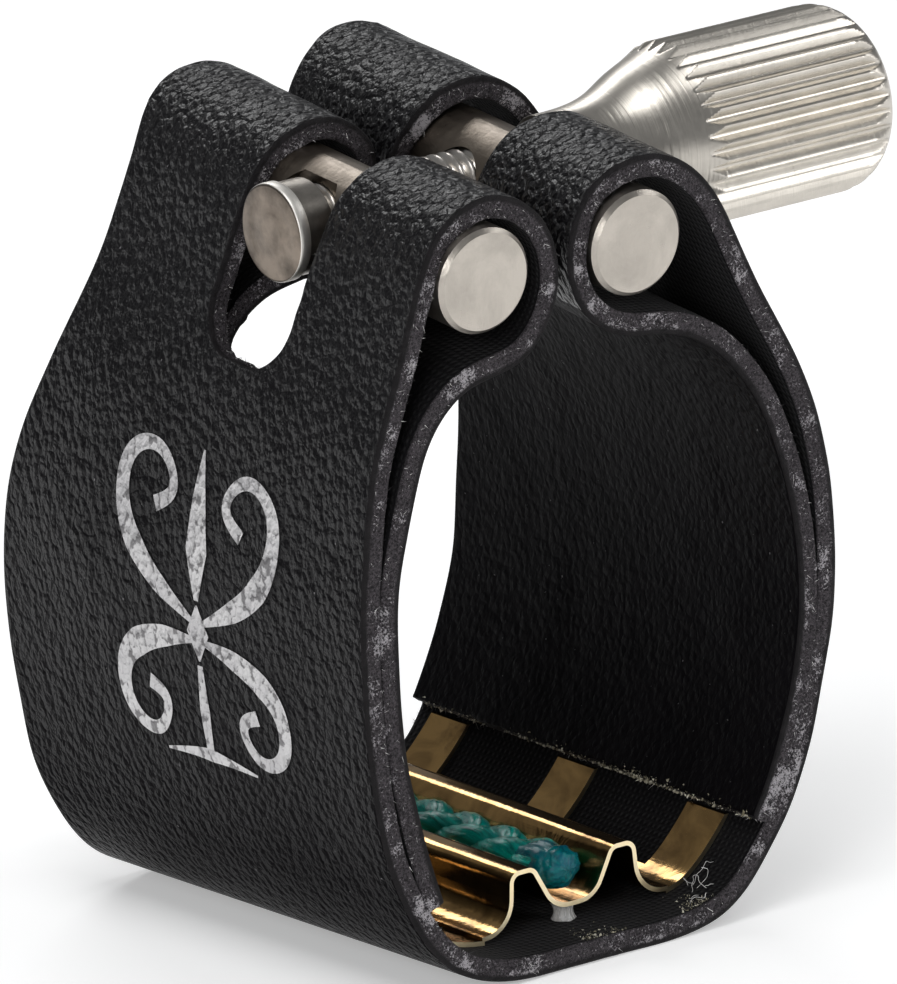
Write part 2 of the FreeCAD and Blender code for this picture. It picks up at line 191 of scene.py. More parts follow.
def mesh_object(name, points_mm, faces, materials, face_materials=None, smooth=True):
    mesh = bpy.data.meshes.new(name)
    mesh.from_pydata((np.asarray(points_mm) * MM).tolist(), [], [tuple(map(int, f)) for f in faces])
    for material in materials:
        mesh.materials.append(material)
    if face_materials is not None:
        mesh.polygons.foreach_set("material_index", np.asarray(face_materials, np.int32))
    if smooth:
        mesh.polygons.foreach_set("use_smooth", np.ones(len(mesh.polygons), bool))
    mesh.validate()
    mesh.update()
    piece = bpy.data.objects.new(name, mesh)
    bpy.context.scene.collection.objects.link(piece)
    return piece


def set_uv(piece, uv_mm):
    """Gives every vertex its place on the flat strip, as the piece's UV map."""
    mesh = piece.data
    layer = mesh.uv_layers.new(name="strip")
    corner = np.zeros(len(mesh.loops), np.int32)
    mesh.loops.foreach_get("vertex_index", corner)
    layer.data.foreach_set("uv", (np.asarray(uv_mm)[corner] * MM).astype(np.float32).ravel())


def set_value(piece, name, values):
    attribute = piece.data.attributes.new(name, "FLOAT", "POINT")
    attribute.data.foreach_set("value", np.asarray(values, np.float32))


def sharpen(piece, degrees):
    """Keeps edges sharper than an angle crisp on a smooth-shaded piece."""
    for edge in piece.data.edges:
        edge.use_edge_sharp = False
    piece.data.set_sharp_from_angle(angle=math.radians(degrees))


# ---- materials


class Graph:
    """A material's node tree, with short calls for its nodes. Scales are features to a metre."""

    def __init__(self, name):
        self.material = bpy.data.materials.new(name)
        self.material.use_nodes = True
        self.tree = self.material.node_tree
        self.tree.nodes.clear()
        self.shader = self.node("ShaderNodeBsdfPrincipled")
        self.node("ShaderNodeOutputMaterial", {"Surface": self.shader.outputs[0]})

    def node(self, kind, sockets=None, **settings):
        """A new node with these settings, and a value or a link for each of these sockets."""
        made = self.tree.nodes.new(kind)
        for key, value in settings.items():
            setattr(made, key, value)
        for key, value in (sockets or {}).items():
            self.feed(made.inputs[key], value)
        return made

    def feed(self, target, value):
        if isinstance(value, bpy.types.NodeSocket):
            self.tree.links.new(value, target)
        else:
            target.default_value = value

    def set(self, **sockets):
        """Values or links for the shader's sockets, whose names have underscores here for spaces."""
        for name, value in sockets.items():
            self.feed(self.shader.inputs[name.replace("_", " ")], value)

    def place(self):
        return self.node("ShaderNodeTexCoord").outputs["Object"]

    def place_on(self, axis):
        """The place along one axis: 0 is X, 1 is Y and 2 is Z."""
        return self.node("ShaderNodeSeparateXYZ", {0: self.place()}).outputs[axis]

    def strip(self):
        return self.node("ShaderNodeUVMap", uv_map="strip").outputs[0]

    def value(self, name):
        return self.node("ShaderNodeAttribute", attribute_name=name).outputs["Fac"]

    def scaled(self, source, scale, turn=0.0):
        sockets = {"Vector": source, "Scale": scale, "Rotation": (0, 0, turn)}
        return self.node("ShaderNodeMapping", sockets).outputs[0]

    def vector_math(self, operation, *values):
        return self.node("ShaderNodeVectorMath", dict(enumerate(values)), operation=operation)

    def warped(self, source, scale, amount):
        """The place moved about by noise, so that what is drawn on it isn't regular."""
        drift = self.node("ShaderNodeTexNoise", {"Vector": source, "Scale": scale})
        return self.vector_math("MULTIPLY_ADD", drift.outputs["Color"], (amount,) * 3, source).outputs[0]

    def noise(self, source, scale, detail=2.0, roughness=0.5, distortion=0.0):
        sockets = {"Vector": source, "Scale": scale, "Detail": detail, "Roughness": roughness,
                   "Distortion": distortion}
        return self.node("ShaderNodeTexNoise", sockets).outputs["Fac"]

    def cells(self, source, scale, smoothness):
        sockets = {"Vector": source, "Scale": scale, "Smoothness": smoothness}
        return self.node("ShaderNodeTexVoronoi", sockets, feature="SMOOTH_F1").outputs["Distance"]

    def waves(self, source, scale, direction, distortion):
        sockets = {"Vector": source, "Scale": scale, "Distortion": distortion}
        return self.node("ShaderNodeTexWave", sockets, bands_direction=direction).outputs["Fac"]

    def ramp(self, source, stops):
        """Colours, or greys, at stops from 0 to 1."""
        made = self.node("ShaderNodeValToRGB", {0: source})
        elements = made.color_ramp.elements
        while len(elements) < len(stops):
            elements.new(0.5)
        for element, (at, colour) in zip(elements, stops):
            element.position = at
            element.color = (*colour, 1) if isinstance(colour, tuple) else (colour,) * 3 + (1,)
        return made.outputs[0]

    def rise(self, source, low, high):
        """0 up to low and 1 from high on, with a slope between them."""
        return self.ramp(source, [(low, 0.0), (high, 1.0)])

    def math(self, operation, *values):
        return self.node("ShaderNodeMath", dict(enumerate(values)), operation=operation).outputs[0]

    def times(self, a, b, plus=0.0):
        return self.math("MULTIPLY_ADD", a, b, plus)

    def mix(self, share, a, b):
        a, b = (c if isinstance(c, bpy.types.NodeSocket) else (*c, 1) for c in (a, b))
        return self.node("ShaderNodeMix", {0: share, 6: a, 7: b}, data_type="RGBA").outputs[2]

    def rings(self, centre_mm, tilt, across, scale):
        """Fine rings round an axis, from the distance to it; across is 1 along the two axes it crosses."""
        centre = Vector(centre_mm) * MM
        sockets = {"Vector": self.place(), "Center": centre, "Angle": -tilt}
        turned_back = self.node("ShaderNodeVectorRotate", sockets, rotation_type="X_AXIS").outputs[0]
        offset = self.vector_math("SUBTRACT", turned_back, centre).outputs[0]
        flat = self.vector_math("MULTIPLY", offset, across).outputs[0]
        distance = self.vector_math("LENGTH", flat).outputs["Value"]
        line = self.node("ShaderNodeCombineXYZ", {0: distance}).outputs[0]
        return self.noise(line, scale, 3.0, 0.7)

    def bump(self, height, distance, over=None):
        """A normal from a height: distance is in mm, and over is the normal that it is added to."""
        sockets = {"Height": height, "Distance": distance * MM}
        if over is not None:
            sockets["Normal"] = over
        return self.node("ShaderNodeBump", sockets).outputs[0]


def pebbles(g, strip):
    """Soft irregular pebbles with narrow valleys between them, a little drawn out, as a height."""
    per_metre = 1.0 / (0.4 * MM)
    moved = g.warped(strip, 2200.0, 0.0004)
    grained = g.scaled(moved, (0.8, 1.0, 1.0), math.radians(14))
    dome = g.cells(grained, per_metre, 0.22)
    small = g.cells(grained, 2.3 * per_metre, 0.4)
    lumps = g.noise(grained, 1.1 * per_metre, 3.0, 0.6)
    return g.times(lumps, 0.6, g.times(small, -0.3, g.times(dome, -1.2)))


def leather(name, grain, gloss, shaded_low_sheen, lit_top_sheen):
    """Black synthetic leather with a fine pebbled grain; its specular level rises with height, a painted
    sheen that keeps the walls low down shaded and the loops lit.
    """
    g = Graph(name)
    # Painted light: the sheen is set by height alone, low on the lower walls and high at the loops.
    painted_sheen_height = g.times(g.place_on(2), 30.0, 0.42)
    strip = g.strip()
    pores = g.noise(strip, 9000.0, 3.0, 0.7)
    folds = g.noise(g.scaled(strip, (1.0, 0.45, 1.0), math.radians(-25)), 420.0, 4.0, 0.6, 0.4)
    grained = g.bump(pebbles(g, strip), 0.14 * grain, over=g.bump(folds, 0.12))
    dust = g.rise(g.noise(strip, 300.0, 6.0, 0.65), 0.45, 0.8)
    lint = g.rise(g.noise(strip, 3200.0), 0.745, 0.77)
    tone = g.mix(g.times(dust, 0.5), (0.0030, 0.0026, 0.0033), (0.0080, 0.0070, 0.0082))
    g.set(
        Base_Color=g.mix(g.times(lint, 0.5), tone, (0.3, 0.29, 0.3)),
        Roughness=g.times(pores, 0.2, gloss),
        Normal=g.bump(pores, 0.010 * grain, over=grained),
        Specular_IOR_Level=g.ramp(painted_sheen_height, [(0.1, shaded_low_sheen), (0.9, lit_top_sheen)]),
    )
    return g.material


def woven_backing():
    """Black woven cloth: the inside of the band below the flaps."""
    g = Graph("woven_backing")
    strip = g.strip()
    cloth = g.times(g.waves(strip, 900.0, "X", 1.2), g.waves(strip, 900.0, "Y", 1.2))
    fuzz = g.noise(strip, 6000.0, 4.0, 0.7)
    g.set(
        Base_Color=g.ramp(fuzz, [(0.35, (0.0015, 0.0015, 0.002)), (0.8, (0.012, 0.011, 0.0125))]),
        Roughness=0.92,
        Normal=g.bump(fuzz, 0.05, over=g.bump(cloth, 0.06)),
        Sheen_Weight=0.04,
        Sheen_Roughness=0.5,
        Specular_IOR_Level=0.1,
    )
    return g.material


def cut_edge():
    """A cut edge of the strip: a dark skin, then a fuzzy core with pale broken fibres."""
    g = Graph("cut_edge")
    place = g.place()
    core = g.ramp(g.value("across"), [(0.2, 0.0), (0.34, 1.0), (0.93, 1.0), (1.0, 0.5)])
    speck = g.noise(place, 9500.0, 5.0, 0.8)
    tuft = g.noise(place, 1500.0, 3.0, 0.6)
    patch = g.noise(place, 420.0, 4.0, 0.6)
    mixed = g.times(patch, 0.38, g.times(tuft, 0.22, g.times(speck, 0.4)))
    pale = g.times(g.rise(mixed, 0.54, 0.565), core)
    fibre = g.ramp(speck, [(0.40, (0.004, 0.003, 0.004)), (0.66, (0.15, 0.132, 0.146))])
    skin = g.ramp(tuft, [(0.3, (0.006, 0.005, 0.006)), (0.8, (0.020, 0.017, 0.019))])
    g.set(
        Base_Color=g.mix(g.times(pale, 0.9), g.mix(core, skin, fibre), (0.62, 0.59, 0.62)),
        Roughness=0.6,
        Normal=g.bump(speck, 0.22, over=g.bump(tuft, 0.22)),
        Specular_IOR_Level=0.2,
    )
    return g.material


def speckled(name, stops, rough):
    """Fibres or crumbs, each as dark or pale as its own value says."""
    g = Graph(name)
    g.set(Base_Color=g.ramp(g.value("pale"), stops), Roughness=rough)
    return g.material


def bar_metal(name, bar_x):
    """Plated rod: fine scratches every way, and blended to dark brown within a few mm of where the screw
    crosses it.
    """
    bright, dull, brown = (0.50, 0.46, 0.41), (0.36, 0.3312, 0.2952), (0.15, 0.12, 0.09)
    brown_reach = 8.0
    g = Graph(name)
    place = g.place()
    cloud = g.noise(place, 420.0, 5.0, 0.62, 0.4)
    lines = g.noise(g.scaled(place, (0.12, 1.0, 1.0)), 5200.0, 4.0, 0.7)
    cross = g.noise(g.scaled(place, (1.0, 0.15, 0.2), 0.6), 4300.0, 4.0, 0.7)
    marks = g.times(cross, 0.5, g.times(lines, 0.5))
    rings = g.rings((bar_x, BAR_START[0], BAR_START[1]), TAPER, (1, 0, 1), 7000.0)
    from_screw = g.math("ABSOLUTE", g.math("SUBTRACT", g.place_on(1), screw_axis()[0] * MM))
    ragged = g.times(cloud, 0.0016, from_screw)
    # Dark brown near the screw, over the stretch of bar seen in the notch.
    brown_near_screw = g.ramp(g.times(ragged, 1 / (brown_reach * MM)), [(0.5, 1.0), (0.68, 0.0)])
    g.set(
        Base_Color=g.mix(g.times(brown_near_screw, 0.85), g.mix(g.rise(cloud, 0.4, 0.75), bright, dull), brown),
        Roughness=g.times(g.rise(marks, 0.35, 0.7), 0.16, 0.27),
        Normal=g.bump(rings, 0.012, over=g.bump(marks, 0.02, over=g.bump(cloud, 0.05))),
        Metallic=1.0,
    )
    return g.material


def turned_metal(name, colour, rough, lines_scale, depth, stain=0.2):
    """Plated metal turned on a lathe: fine rings round the X axis."""
    g = Graph(name)
    place = g.place()
    turned_lines = g.noise(g.scaled(place, (1.0, 0.02, 0.02)), lines_scale, 3.0, 0.7)
    rings = g.rings((0, *screw_axis()), 0.0, (0, 1, 1), 8000.0)
    cloud = g.noise(place, 620.0, 5.0, 0.6)
    wear = g.noise(place, 3200.0, 4.0, 0.7)
    dull = tuple(c * (1 - stain) for c in colour)
    g.set(
        Base_Color=g.mix(g.rise(cloud, 0.4, 0.8), colour, dull),
        Roughness=g.times(wear, 0.12, rough),
        Normal=g.bump(wear, 0.004, over=g.bump(rings, 0.008, over=g.bump(turned_lines, depth))),
        Metallic=1.0,
    )
    return g.material


def gold_plate(name, colour, dull, rough):
    """Gold-plated sheet with faint rolling lines and fingermarks."""
    g = Graph(name)
    place = g.place()
    rolled = g.noise(g.scaled(place, (1.0, 0.03, 1.0)), 2600.0, 4.0, 0.7)
    smear = g.noise(place, 300.0, 4.0, 0.6, 0.8)
    g.set(
        Base_Color=g.mix(g.rise(smear, 0.4, 0.7), colour, dull),
        Roughness=g.times(smear, 0.16, rough),
        Normal=g.bump(rolled, 0.006, over=g.bump(smear, 0.05)),
        Metallic=1.0,
    )
    return g.material


def waxed_yarn(name, deep, bright, waxy, rough):
    """Teal waxed yarn: fine plies along each strand, wax gathered between them."""
    g = Graph(name)
    plies = g.noise(g.scaled(g.strip(), (0.22, 1.0, 1.0), math.radians(5)), 3600.0, 4.0, 0.65, 0.3)
    wax = g.noise(g.place(), 1500.0, 4.0, 0.65)
    g.set(
        Base_Color=g.mix(g.rise(wax, 0.5, 0.72), g.mix(g.rise(plies, 0.3, 0.7), deep, bright), waxy),
        Roughness=g.times(wax, 0.3, rough),
        Normal=g.bump(wax, 0.06, over=g.bump(plies, 0.07)),
        Subsurface_Weight=0.12,
        Subsurface_Radius=(0.1, 0.5, 0.45),
        Subsurface_Scale=0.0005,
        Specular_IOR_Level=0.3,
    )
    return g.material


def clear_glue():
    """Set glue, whitened and drawn out into upright ribs."""
    g = Graph("clear_glue")
    streak = g.noise(g.scaled(g.place(), (1.0, 1.0, 0.12)), 6000.0, 3.0, 0.6)
    g.set(
        Base_Color=g.ramp(streak, [(0.35, (0.7, 0.69, 0.66)), (0.65, (1.0, 0.99, 0.96))]),
        Roughness=g.times(streak, 0.3, 0.12),
        Normal=g.bump(streak, 0.05),
        Transmission_Weight=0.2,
        Subsurface_Weight=0.4,
        Subsurface_Radius=(1.0, 1.0, 0.9),
        Subsurface_Scale=0.0008,
        IOR=1.48,
    )
    return g.material


def silver_print():
    """Silver ink over the leather's grain, thin in the valleys."""
    g = Graph("silver_print")
    strip = g.strip()
    height = pebbles(g, strip)
    fine = g.noise(strip, 6000.0, 3.0, 0.7)
    worn = g.ramp(g.math("ADD", g.times(fine, 0.6, height), 0.5), [(0.06, 1.0), (0.22, 0.0)])
    cloud = g.ramp(g.noise(strip, 260.0, 3.0), [(0.3, (0.50, 0.49, 0.50)), (0.7, (0.72, 0.71, 0.71))])
    g.set(
        Base_Color=g.mix(g.times(worn, 0.75), cloud, (0.07, 0.066, 0.07)),
        Roughness=g.times(fine, 0.25, 0.3),
        Normal=g.bump(fine, 0.02, over=g.bump(height, 0.13)),
        Metallic=0.55,
    )
    return g.material


# The last two numbers are the painted sheen low down and up at the loops.
GRAIN = leather("leather_face", 1.0, 0.20, 0.02, 0.29)
# The flap inside the band: finer, rougher grain, with a low shine as painted shade.
SHADED_FLAP_GRAIN = leather("leather_flap_shaded", 0.4, 0.42, 0.04, 0.05)
BACKING = woven_backing()
CUT = cut_edge()
FIBRE = speckled("loose_fibre", [(0.0, (0.012, 0.011, 0.013)), (0.72, (0.06, 0.055, 0.06)),
                                 (1.0, (0.8, 0.79, 0.78))], 0.7)
LEFT_NICKEL = bar_metal("nickel_left_bar", LEFT_BAR_X)
RIGHT_NICKEL = bar_metal("nickel_right_bar", RIGHT_BAR_X)
TURNED = turned_metal("nickel_turned", (0.60, 0.565, 0.52), 0.24, 9000.0, 0.008)
WORN = turned_metal("nickel_worn", (0.27, 0.225, 0.185), 0.26, 5000.0, 0.012, 0.8)
# The disc's rim: rougher turned nickel, with a paler colour as a painted highlight.
PAINTED_BRIGHT_RIM = turned_metal("nickel_rim_painted_bright", (0.86, 0.83, 0.78), 0.42, 9000.0, 0.01)
COLLAR = turned_metal("nickel_collar", (0.40, 0.37, 0.33), 0.3, 9000.0, 0.012, 0.6)
GRIP = turned_metal("nickel_grip", (0.58, 0.545, 0.49), 0.25, 5200.0, 0.02)
GOLD = gold_plate("gold_sheet", (0.52, 0.32, 0.12), (0.14, 0.078, 0.03), 0.07)
# The plate's cut edges: pale bare metal, made paler still as a painted highlight.
GOLD_EDGE_PAINTED_HIGHLIGHT = gold_plate("gold_cut_edge_painted_highlight", (0.95, 0.82, 0.55), (0.85, 0.68, 0.40), 0.25)
CORD = waxed_yarn("waxed_yarn", (0.0, 0.065, 0.06), (0.0, 0.52, 0.42), (0.0, 0.24, 0.22), 0.15)
MELTED = waxed_yarn("melted_yarn", (0.0, 0.06, 0.085), (0.0, 0.20, 0.21), (0.0, 0.09, 0.15), 0.14)
GLUE = clear_glue()
RESIDUE = speckled("glue_residue", [(0.0, (0.05, 0.045, 0.03)), (0.4, (0.30, 0.27, 0.18)),
                                    (1.0, (0.85, 0.82, 0.70))], 0.5)
PRINT = silver_print()


# ---- band


class Strip:
    """The whole strip's outer line, and the place of any point of the strip in the object."""

    def __init__(self):
        self.line = spline(LEFT_FLAP_TO_WALL + [BOTTOM_CENTRE] + RIGHT_WALL_TO_FLAP, 0.02)
        self.run = distance_along(self.line)
        self.inward = quarter_turn(headings(self.line))
        self.centre = self.run[np.linalg.norm(self.line - np.array(BOTTOM_CENTRE), axis=1).argmin()]
        self.length = self.run[-1]
        height = self.line[:, 1]
        on_left = self.run < self.centre
        self.left_top = self.run[np.where(on_left, height, -99).argmax()]
        self.right_top = self.run[np.where(on_left, -99, height).argmax()]

    def taper_share(self, z):
        """Share of the taper at a height: none at the bottom, all of it at the flaps."""
        return smoothstep((z + 15.0) / 28.0)

    def at(self, along, y, depth):
        """Places in mm: along the strip from the left flap's end, across it, and under its face."""
        x, z, nx, nz = (np.interp(along, self.run, column) for column in (*self.line.T, *self.inward.T))
        x = x + nx * depth
        z = z + nz * depth
        behind = y - BAR_START[0]
        flared = smoothstep((15.5 - z) / 14.5) * behind / DEPTH * (FLARE * x / HALF_WIDTH + FLARE_LEAN)
        risen = behind * math.tan(TAPER) * self.taper_share(z)
        return np.stack([x + flared, y + 0 * x, z + risen], axis=-1)

    def past_top(self, along):
        """How far a place is down the flap from its loop's top; negative on the outer wall."""
        return np.where(along < self.centre, self.left_top - along, along - self.right_top)

    def rear(self, along):
        """Depth of the rear edge at each place along the strip."""
        edge = spline(REAR_EDGE, 0.1)
        z = np.interp(along, self.run, self.line[:, 1])
        z = z + 2.4 * self.taper_share(z)
        return np.interp(z, edge[:, 0], edge[:, 1])


STRIP = Strip()


def bar_frame(points):
    """Distance along the bars and height square to them, of points in mm."""
    y = points[..., 1] - BAR_START[0]
    z = points[..., 2] - BAR_START[1]
    return y * math.cos(TAPER) + z * math.sin(TAPER), z * math.cos(TAPER) - y * math.sin(TAPER)


def outside_notch(points, down_flap, rough):
    """How far points lie outside the notch between the prongs; negative inside it."""
    along, up = bar_frame(points)
    end = NOTCH_END + FLAP_NOTCH_LONGER * smoothstep((down_flap - 3.0) / 6.0)
    low = NOTCH_LOW - FLAP_NOTCH_DEEPER * smoothstep(down_flap / 6.0)
    middle = (NOTCH_START + end) / 2
    sideways = np.abs(along - middle) - ((end - NOTCH_START) / 2 - NOTCH_ROUND)
    downwards = (low + NOTCH_ROUND) - up
    outside = np.hypot(np.maximum(sideways, 0), np.maximum(downwards, 0))
    return outside + np.minimum(np.maximum(sideways, downwards), 0) - NOTCH_ROUND + rough


def swell(along, y):
    """Gentle unevenness of the leather, as a depth under its face."""
    broad = 0.11 * value_noise(along / 8.0 + 30, y / 7.0 + 20, 3)
    small = 0.04 * value_noise(along / 2.3 + 30, y / 1.9 + 20, 4)
    return (broad + small) * smoothstep((np.abs(along - STRIP.centre) - 12.0) / 8.0)


def loop_creases(along, y):
    """Short creases across the leather where it turns round a bar."""
    near_top = np.exp(-(STRIP.past_top(along) / 4.5) ** 2)
    lines = value_noise(along / 0.75 + 9, y / 3.2 + 40 + along * 0.05, 8)
    return 0.055 * np.abs(lines) * near_top


def band_grid(side, seed):
    """One half's grid: places along and across the strip, which cells are kept, which vertices used.

    The notch is left out of it, and the vertices beside it are moved onto its outline.
    """
    length = STRIP.centre if side < 0 else STRIP.length - STRIP.centre
    rows = int(length / CELL)
    columns = int(DEPTH / CELL)
    t = np.linspace(0, length, rows + 1)[:, None] + np.zeros((1, columns + 1))
    share = np.linspace(0, 1, columns + 1)[None, :] + np.zeros((rows + 1, 1))
    ragged = value_noise(share * 45, share * 0 + 3, seed) * 0.09
    t = t + ragged * smoothstep((t - length + 5) / 5)
    along = STRIP.centre + side * t
    off_seam = smoothstep(t / 4.0)
    front = BAND_FRONT + 0.07 * off_seam * value_noise(t / 2.6, t * 0, seed + 1)
    rear = STRIP.rear(along) + 0.16 * off_seam * value_noise(t / 3.1, t * 0 + 5, seed + 2)
    y = front + (rear - front) * share

    def gap_at(a, yy):
        p = STRIP.at(a, yy, 0.0)
        rough = 0.05 * value_noise(p[..., 2] * 1.6, p[..., 1] * 1.6 + side * 3, seed + 5)
        return outside_notch(p, STRIP.past_top(a), rough)

    keep = gap_at((along[:-1, :-1] + along[1:, 1:]) / 2, (y[:-1, :-1] + y[1:, 1:]) / 2) > 0
    touched = np.zeros((rows + 1, columns + 1), int)
    dropped = np.zeros_like(touched)
    for di in (0, 1):
        for dj in (0, 1):
            touched[di:rows + di, dj:columns + dj] += keep
            dropped[di:rows + di, dj:columns + dj] += ~keep
    rim = (touched > 0) & (dropped > 0)
    probe = 0.02
    for _ in range(4):
        a, yy = along[rim], y[rim]
        gap = gap_at(a, yy)
        slope_a = (gap_at(a + probe, yy) - gap_at(a - probe, yy)) / (2 * probe)
        slope_y = (gap_at(a, yy + probe) - gap_at(a, yy - probe)) / (2 * probe)
        size = np.maximum(slope_a**2 + slope_y**2, 0.2)
        along[rim] = a - gap * slope_a / size
        y[rim] = yy - gap * slope_y / size
    return along, y, keep, touched > 0


def rim_edges(quads):
    """Every cell edge that only one kept cell has."""
    edges = {}
    for quad in quads.tolist():
        for a, b in zip(quad, quad[1:] + quad[:1]):
            if (b, a) in edges:
                del edges[(b, a)]
            else:
                edges[(a, b)] = True
    return list(edges)


def outward_at(on_rim, points, thick, edges, along):
    """The way out of the strip at each vertex of its rim."""
    outward = np.zeros_like(points)
    for a, b in edges:
        push = np.cross(points[b] - points[a], -thick[a])
        push /= max(np.linalg.norm(push), 1e-9)
        outward[a] += push
        outward[b] += push
    outward[on_rim] = unit(outward[on_rim])
    # The halves meet in the middle of the bottom, so nothing is rounded off there.
    outward[np.abs(along - STRIP.centre) < CELL / 2, 0] = 0
    return outward[on_rim]


def band_half(name, side, seed):
    """One half of the band, from the middle of the bottom to its flap's end: side is -1 or 1.

    Every rim gets a thickness wall with a rounded skin and a rough core. The rim's points, thickness,
    outward directions and edges are returned too.
    """
    along, y, keep, used = band_grid(side, seed)
    lift = swell(along, y) + loop_creases(along, y)
    count = used.sum()
    number = np.full(used.shape, -1)
    number[used] = np.arange(count)
    points = STRIP.at(along, y, lift)[used]
    under = STRIP.at(along, y, lift + STRIP_THICK)[used]
    i, j = np.nonzero(keep)
    corners = [number[i, j], number[i + 1, j], number[i + 1, j + 1], number[i, j + 1]]
    if side > 0:
        corners.reverse()
    quads = np.stack(corners, axis=1)
    place = np.stack([along[used], y[used]], axis=1)

    edges = rim_edges(quads)
    on_rim = np.unique([v for edge in edges for v in edge])
    outward = outward_at(on_rim, points, under - points, edges, place[:, 0])
    skin = points[on_rim]
    thick = under[on_rim] - skin
    rng = np.random.default_rng(seed + 6)
    rings = []
    for k, (share, setback) in enumerate(RIM_PROFILE):
        offset = np.full(len(on_rim), -setback)
        if 1 < k < len(RIM_PROFILE) - 1:
            offset += rng.uniform(-RIM_ROUGH, RIM_ROUGH, len(on_rim))
        rings.append(skin + thick * share + outward * offset[:, None])
    points[on_rim] = rings[0]
    under[on_rim] = rings[-1]
    rim_number = {v: k for k, v in enumerate(on_rim)}

    def ring_vertex(ring, v):
        if ring == 0:
            return v
        if ring == len(rings) - 1:
            return v + count
        return 2 * count + (ring - 1) * len(on_rim) + rim_number[v]

    faces = quads.tolist() + (quads[:, ::-1] + count).tolist()
    is_flap = STRIP.past_top(place[quads].mean(axis=1)[:, 0]) > FLAP_START
    kinds = is_flap.astype(int).tolist() + [2] * len(quads)
    for a, b in edges:
        for ring in range(len(rings) - 1):
            faces.append([
                ring_vertex(ring, b), ring_vertex(ring, a),
                ring_vertex(ring + 1, a), ring_vertex(ring + 1, b),
            ])
            kinds.append(3)
    all_points = np.concatenate([points, under] + rings[1:-1])
    piece = mesh_object(name, all_points, faces, [GRAIN, SHADED_FLAP_GRAIN, BACKING, CUT], kinds)
    sharpen(piece, 60)
    core = RIM_PROFILE[1:-1]
    set_uv(piece, np.concatenate([place, place] + [place[on_rim]] * len(core)))
    across = [np.zeros(count), np.ones(count)] + [np.full(len(on_rim), share) for share, _ in core]
    set_value(piece, "across", np.concatenate(across))
    return piece, skin, thick, outward, [(rim_number[a], rim_number[b]) for a, b in edges]


def fibres(name, rim, seed, amount):
    """Broken fibres that stand out of the cut edges: thin three-sided spikes."""
    points, thick, outward, edges = rim
    rng = np.random.default_rng(seed)
    chosen = rng.integers(0, len(edges), amount)
    a, b = np.array(edges)[chosen].T
    mixed = rng.random(amount)[:, None]
    depth = rng.uniform(0.28, 0.98, amount)[:, None]
    root = (points[a] * mixed + points[b] * (1 - mixed)) + thick[a] * depth - outward[a] * 0.03
    heading = unit(outward[a] + rng.normal(0, 0.75, (amount, 3)))
    reach = rng.gamma(2.2, 0.05, amount)[:, None] + 0.04
    pale = rng.random(amount)
    radius = 0.011 + 0.008 * rng.random(amount)[:, None]
    side = unit(np.cross(heading, rng.normal(0, 1, (amount, 3))))
    other = np.cross(heading, side)
    corners = []
    for turn in (0, 2 * math.pi / 3, 4 * math.pi / 3):
        corners.append(root + (side * math.cos(turn) + other * math.sin(turn)) * radius)
    bent = rng.normal(0, 0.25, (amount, 3)) * reach
    corners.append(root + heading * reach + bent)
    all_points = np.stack(corners, axis=1).reshape(-1, 3)
    faces = []
    for k in range(amount):
        v = 4 * k
        faces += [(v, v + 1, v + 3), (v + 1, v + 2, v + 3), (v + 2, v, v + 3), (v + 2, v + 1, v)]
    piece = mesh_object(name, all_points, faces, [FIBRE], smooth=False)
    set_value(piece, "pale", np.repeat(np.where(pale > 0.86, 1.0, pale * 0.8), 4))
    return piece


def crumbs(name, side, seed, amount):
    """Crumbs of old glue along the lower edge of the inner flap, where it is stuck to the band."""
    rng = np.random.default_rng(seed)
    flap_end = 0.0 if side < 0 else STRIP.length
    cluster = rng.random(26)
    share = np.clip(rng.choice(cluster, amount) + rng.normal(0, 0.018, amount), 0.01, 0.99)
    y = BAND_FRONT + 0.3 + share * (DEPTH - 0.6)
    along = flap_end - side * rng.exponential(0.10, amount)
    centre = STRIP.at(along, y, rng.uniform(-0.02, 0.35, amount))
    size = rng.gamma(2.0, 0.016, amount) + 0.015
    return star_crumbs(name, rng, centre, size)


def front_glue_crumbs():
    """More crumbs, on the backing and the rim in front of the plate."""
    rng = np.random.default_rng(91)
    amount = 420
    cluster = rng.uniform(-4.0, 6.5, 9)
    along = STRIP.centre + rng.choice(cluster, amount) + rng.normal(0, 0.35, amount)
    y = BAND_FRONT + 0.12 + rng.exponential(0.55, amount)
    centre = STRIP.at(along, y, STRIP_THICK + rng.uniform(-0.06, 0.05, amount))
    size = rng.gamma(2.0, 0.013, amount) + 0.01
    piece = star_crumbs("front_glue_crumbs", rng, centre, size)
    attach(piece, "base")


def star_crumbs(name, rng, centre, size):
    """A small ragged crumb of glue at each place."""
    amount = len(size)
    corners = rng.normal(0, 0.62, (amount, 6, 3)) * size[:, None, None] + centre[:, None, :]
    star = [(0, 1, 2), (0, 2, 3), (0, 3, 1), (4, 2, 1), (4, 3, 2), (4, 1, 3), (5, 0, 1), (5, 1, 2), (5, 2, 0)]
    faces = [tuple(6 * k + v for v in triangle) for k in range(amount) for triangle in star]
    piece = mesh_object(name, corners.reshape(-1, 3), faces, [RESIDUE], smooth=False)
    set_value(piece, "pale", np.repeat(rng.random(amount) ** 1.2, 6))
    return piece


def tube_points(line, around, upright, radius, width=1.0, height=1.0):
    """Points of a tube along a line, as rings: width and height make it oval."""
    heading = headings(line)
    side = unit(np.cross(heading, np.array(upright)))
    up = np.cross(side, heading)
    ring = side[:, None, :] * np.cos(around)[None, :, None] * width
    ring = ring + up[:, None, :] * np.sin(around)[None, :, None] * height
    return (line[:, None, :] + ring * radius).reshape(-1, 3)


def tube_faces(rows, columns):
    """Faces of a closed tube whose points are rows of rings."""
    faces = []
    for i in range(rows - 1):
        for j in range(columns):
            k = (j + 1) % columns
            faces.append((i * columns + j, i * columns + k, (i + 1) * columns + k, (i + 1) * columns + j))
    faces.append(list(range(columns))[::-1])
    faces.append([(rows - 1) * columns + j for j in range(columns)])
    return faces


